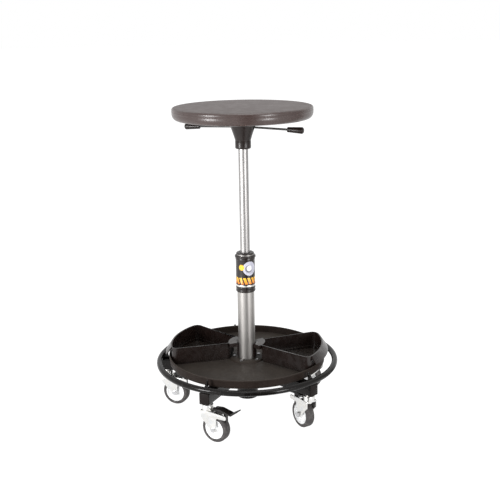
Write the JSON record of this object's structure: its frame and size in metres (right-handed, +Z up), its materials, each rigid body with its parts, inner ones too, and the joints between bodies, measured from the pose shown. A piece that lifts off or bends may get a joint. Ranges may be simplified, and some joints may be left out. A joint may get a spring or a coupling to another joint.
{
  "type": "rolling stool",
  "caption": "Height-adjustable rolling workshop stool with a round seat, gas lift, foot ring, round tool tray with lift-out bins, and braked swivel casters.",
  "frame": {"origin": "on the floor, at the foot of the column's axis, with the gas lift fully raised", "axes": "+Z up along the column; -Y is the front that the picture shows; +X to the right"},
  "size_m": [0.5399, 0.5673, 0.905],
  "materials": {
    "seat_foam": "fine-grained moulded skin, soft satin",
    "plywood": "plain sealed plywood",
    "seat_steel": "black powder coat",
    "zinc_fasteners": "zinc-plated",
    "cover_plastic": "satin black moulding",
    "lever_steel": "black coating",
    "grip_plastic": "smooth black",
    "chrome_tube": "polished",
    "column_steel": "satin, drawn along its length",
    "sleeve_black": "semi-gloss black film with a plain yellow and grey band",
    "trim_pale": "satin",
    "base_paint": "gloss black",
    "cap_plastic": "dull black",
    "tray_plastic": "fine-grained black moulding",
    "bin_plastic": "smooth black moulding",
    "caster_zinc": "bright zinc-plated",
    "wheel_grey": "pale grey moulding",
    "tyre_grey": "dark grey rubber",
    "pedal_black": "black moulding"
  },
  "bodies": {
    "base": {"base_hub": "base_paint", "base_legs": "base_paint", "leg_end_caps": "cap_plastic", "stem_sleeves": "zinc_fasteners", "caster_stems": "caster_zinc", "foot_ring": "base_paint", "ring_brackets": "base_paint", "tool_tray": "tray_plastic", "tray_screws": "zinc_fasteners", "column_tube": "column_steel", "guide_bush": "cover_plastic", "upper_collar": "cover_plastic", "column_sleeve": "sleeve_black", "trim_ring": "trim_pale", "lower_collar": "cover_plastic", "thrust_bearing": "zinc_fasteners"},
    "rod": {"piston_rod": "chrome_tube", "rod_clip": "zinc_fasteners"},
    "seat_post": {"gas_cylinder": "chrome_tube", "socket_housing": "seat_steel", "cone_cover": "cover_plastic", "lever_pins": "zinc_fasteners"},
    "valve_pin": {"release_pin": "zinc_fasteners"},
    "height_control": {"height_lever": "lever_steel", "height_grip": "grip_plastic"},
    "tilt_control": {"tilt_lever": "lever_steel", "tilt_grip": "grip_plastic"},
    "seat": {"seat_cushion": "seat_foam", "seat_board": "plywood", "seat_plate": "seat_steel", "seat_screws": "zinc_fasteners", "tilt_axle": "zinc_fasteners"},
    "left_tool_bin": {"left_bin": "bin_plastic"},
    "right_tool_bin": {"right_bin": "bin_plastic"},
    "fork_1": {"caster_fork_1": "caster_zinc", "axle_bolt_1": "zinc_fasteners"},
    "wheel_1": {"wheel_rim_1": "wheel_grey", "wheel_tyre_1": "tyre_grey"},
    "pedal_1": {"brake_pedal_1": "pedal_black"},
    "fork_2": {"caster_fork_2": "caster_zinc", "axle_bolt_2": "zinc_fasteners"},
    "wheel_2": {"wheel_rim_2": "wheel_grey", "wheel_tyre_2": "tyre_grey"},
    "pedal_2": {"brake_pedal_2": "pedal_black"},
    "fork_3": {"caster_fork_3": "caster_zinc", "axle_bolt_3": "zinc_fasteners"},
    "wheel_3": {"wheel_rim_3": "wheel_grey", "wheel_tyre_3": "tyre_grey"},
    "pedal_3": {"brake_pedal_3": "pedal_black"},
    "fork_4": {"caster_fork_4": "caster_zinc", "axle_bolt_4": "zinc_fasteners"},
    "wheel_4": {"wheel_rim_4": "wheel_grey", "wheel_tyre_4": "tyre_grey"},
    "pedal_4": {"brake_pedal_4": "pedal_black"},
    "fork_5": {"caster_fork_5": "caster_zinc", "axle_bolt_5": "zinc_fasteners"},
    "wheel_5": {"wheel_rim_5": "wheel_grey", "wheel_tyre_5": "tyre_grey"},
    "pedal_5": {"brake_pedal_5": "pedal_black"}
  },
  "joints": [
    {"name": "seat_swivel", "type": "hinge", "parent": "base", "child": "rod", "pos_m": [0, 0, 0.0485], "axis": [0, 0, 1], "continuous": true},
    {"name": "seat_height", "type": "slide", "parent": "rod", "child": "seat_post", "axis": [0, 0, 1], "range_m": [-0.26, 0]},
    {"name": "valve_press", "type": "slide", "parent": "seat_post", "child": "valve_pin", "axis": [0, 0, 1], "range_m": [-0.0014, 0]},
    {"name": "height_lever_lift", "type": "hinge", "parent": "seat_post", "child": "height_control", "pos_m": [0.01096, -0.00488, 0.846], "axis": [-0.4067, -0.9135, 0], "range_deg": [0, 5], "stiffness_Nm_per_rad": 3, "springref_deg": -5.73},
    {"name": "tilt_lever_lift", "type": "hinge", "parent": "seat_post", "child": "tilt_control", "pos_m": [-0.01096, 0.00488, 0.846], "axis": [0.4067, 0.9135, 0], "range_deg": [0, 5], "stiffness_Nm_per_rad": 3, "springref_deg": -5.73},
    {"name": "seat_tilt", "type": "hinge", "parent": "seat_post", "child": "seat", "pos_m": [0, 0, 0.865], "axis": [0.9135, -0.4067, 0], "range_deg": [-8, 8]},
    {"name": "left_bin_lift", "type": "slide", "parent": "base", "child": "left_tool_bin", "axis": [0, 0, 1], "range_m": [0, 0.12]},
    {"name": "right_bin_lift", "type": "slide", "parent": "base", "child": "right_tool_bin", "axis": [0, 0, 1], "range_m": [0, 0.12]},
    {"name": "caster_swivel_1", "type": "hinge", "parent": "base", "child": "fork_1", "pos_m": [-0.11245, -0.2188, 0.09], "axis": [0, 0, 1], "continuous": true},
    {"name": "wheel_spin_1", "type": "hinge", "parent": "fork_1", "child": "wheel_1", "pos_m": [-0.08883, -0.23384, 0.04], "axis": [0.5373, 0.8434, 0], "continuous": true},
    {"name": "brake_1", "type": "hinge", "parent": "fork_1", "child": "pedal_1", "pos_m": [-0.07365, -0.24351, 0.0845], "axis": [0.5373, 0.8434, 0], "range_deg": [0, 5]},
    {"name": "caster_swivel_2", "type": "hinge", "parent": "base", "child": "fork_2", "pos_m": [0.17334, -0.17455, 0.09], "axis": [0, 0, 1], "continuous": true},
    {"name": "wheel_spin_2", "type": "hinge", "parent": "fork_2", "child": "wheel_2", "pos_m": [0.1585, -0.15081, 0.04], "axis": [-0.848, -0.5299, 0], "continuous": true},
    {"name": "brake_2", "type": "hinge", "parent": "fork_2", "child": "pedal_2", "pos_m": [0.14896, -0.13554, 0.0845], "axis": [-0.848, -0.5299, 0], "range_deg": [0, 5]},
    {"name": "caster_swivel_3", "type": "hinge", "parent": "base", "child": "fork_3", "pos_m": [0.21958, 0.11092, 0.09], "axis": [0, 0, 1], "continuous": true},
    {"name": "wheel_spin_3", "type": "hinge", "parent": "fork_3", "child": "wheel_3", "pos_m": [0.19533, 0.12492, 0.04], "axis": [-0.5, -0.866, 0], "continuous": true},
    {"name": "brake_3", "type": "hinge", "parent": "fork_3", "child": "pedal_3", "pos_m": [0.17974, 0.13392, 0.0845], "axis": [-0.5, -0.866, 0], "range_deg": [0, 5]},
    {"name": "caster_swivel_4", "type": "hinge", "parent": "base", "child": "fork_4", "pos_m": [-0.03764, 0.2431, 0.09], "axis": [0, 0, 1], "continuous": true},
    {"name": "wheel_spin_4", "type": "hinge", "parent": "fork_4", "child": "wheel_4", "pos_m": [-0.01072, 0.25082, 0.04], "axis": [-0.2756, 0.9613, 0], "continuous": true},
    {"name": "brake_4", "type": "hinge", "parent": "fork_4", "child": "pedal_4", "pos_m": [0.00658, 0.25578, 0.0845], "axis": [-0.2756, 0.9613, 0], "range_deg": [0, 5]},
    {"name": "caster_swivel_5", "type": "hinge", "parent": "base", "child": "fork_5", "pos_m": [-0.24284, 0.03933, 0.09], "axis": [0, 0, 1], "continuous": true},
    {"name": "wheel_spin_5", "type": "hinge", "parent": "fork_5", "child": "wheel_5", "pos_m": [-0.21687, 0.02884, 0.04], "axis": [0.3746, 0.9272, 0], "continuous": true},
    {"name": "brake_5", "type": "hinge", "parent": "fork_5", "child": "pedal_5", "pos_m": [-0.20019, 0.0221, 0.0845], "axis": [0.3746, 0.9272, 0], "range_deg": [0, 5]}
  ],
  "couplings": [
    {"joint": "valve_press", "follows": "height_lever_lift", "m_per_rad": -0.0145}
  ]
}
